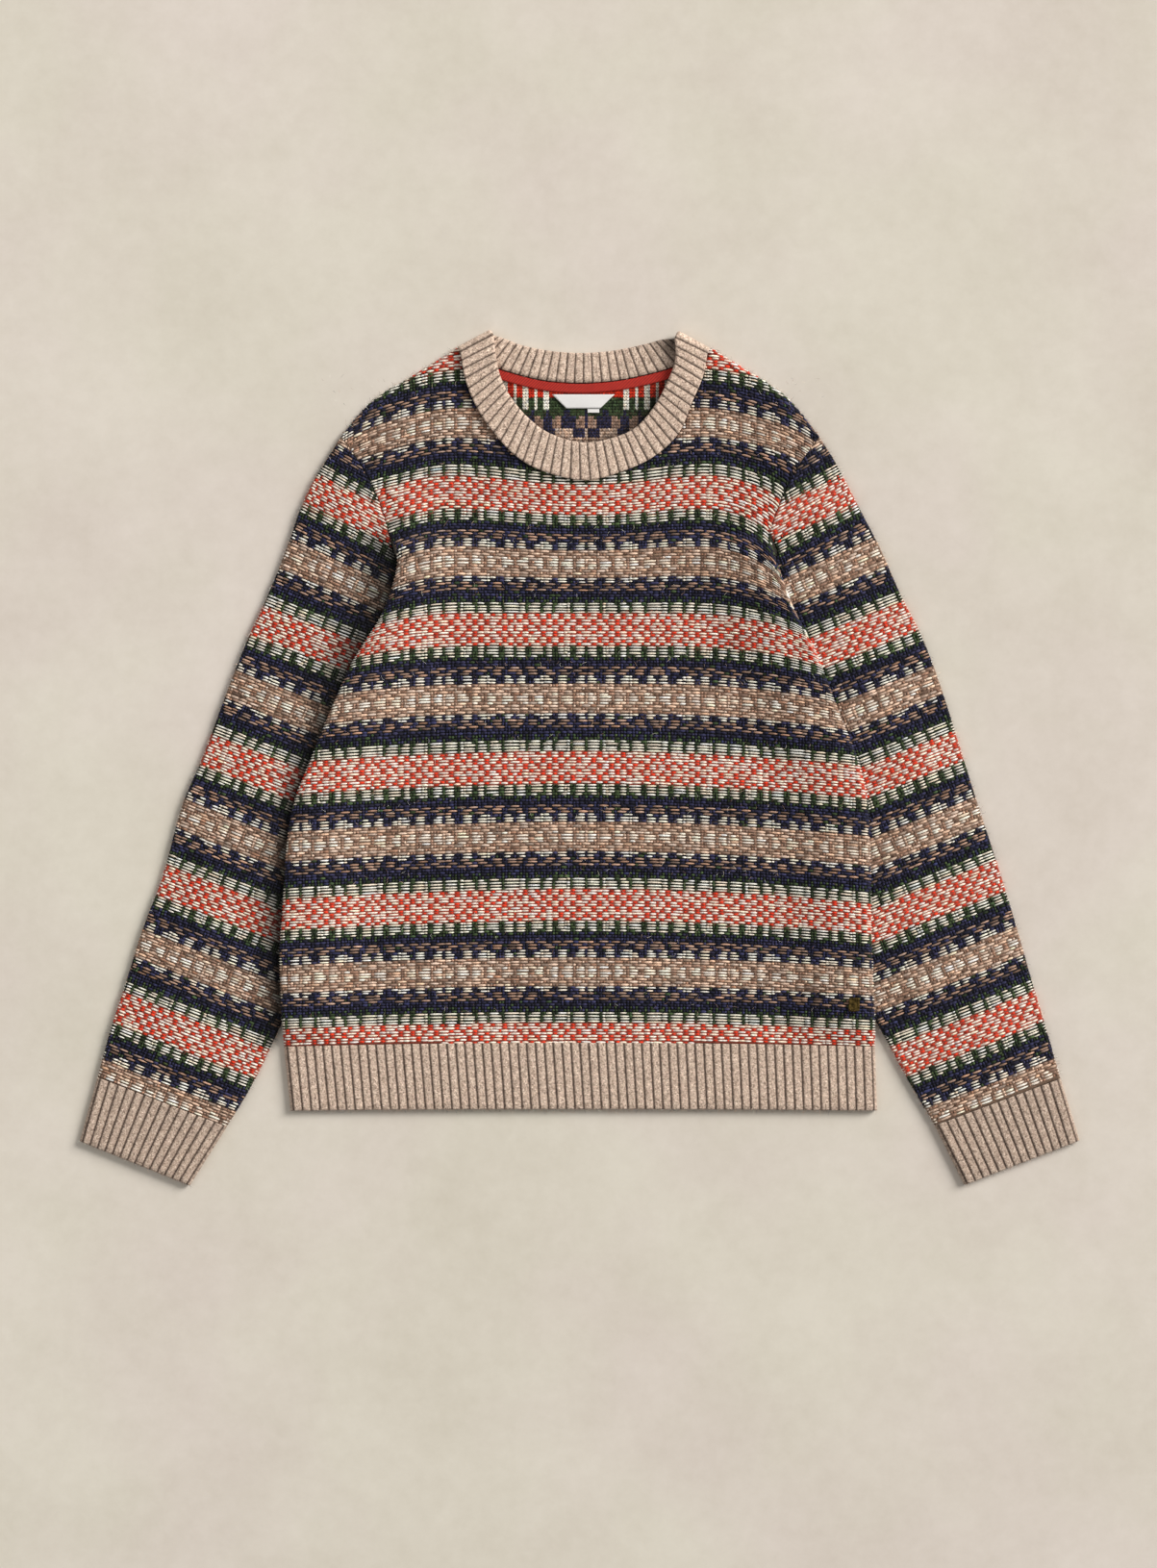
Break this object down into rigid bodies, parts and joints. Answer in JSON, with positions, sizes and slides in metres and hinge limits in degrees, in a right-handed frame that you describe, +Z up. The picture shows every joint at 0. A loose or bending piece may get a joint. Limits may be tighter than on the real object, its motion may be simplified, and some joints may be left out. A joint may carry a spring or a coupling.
{
  "type": "fair isle jumper",
  "caption": "Crew neck jumper in striped stranded knit, laid flat with its arms down, with ribbed neckband, cuffs and hem.",
  "frame": {"origin": "on the surface the jumper lies on, halfway between the cuffs and halfway from the cuffs to the collar", "axes": "+X across the body to the right of the picture, +Y from the hem to the neck, +Z up off the surface, out of the front"},
  "size_m": [0.7865, 0.6724, 0.0162],
  "materials": {
    "fair_isle": "stranded wool knit in red, cream, green, navy, taupe and brown, soft and slightly hairy",
    "marl_rib": "ribbed oatmeal marl wool knit",
    "red_tape": "woven cotton tape",
    "white_label": "smooth woven label, bare",
    "dark_brass": "aged, dark"
  },
  "bodies": {
    "root": {"front_body": "fair_isle", "back_body": "fair_isle", "sleeve_left": "fair_isle", "sleeve_right": "fair_isle", "hem_rib": "marl_rib", "cuff_left": "marl_rib", "cuff_right": "marl_rib", "neckband": "marl_rib", "neck_tape": "red_tape", "neck_label": "white_label", "size_tab": "white_label", "hem_tag": "dark_brass"}
  },
  "joints": []
}
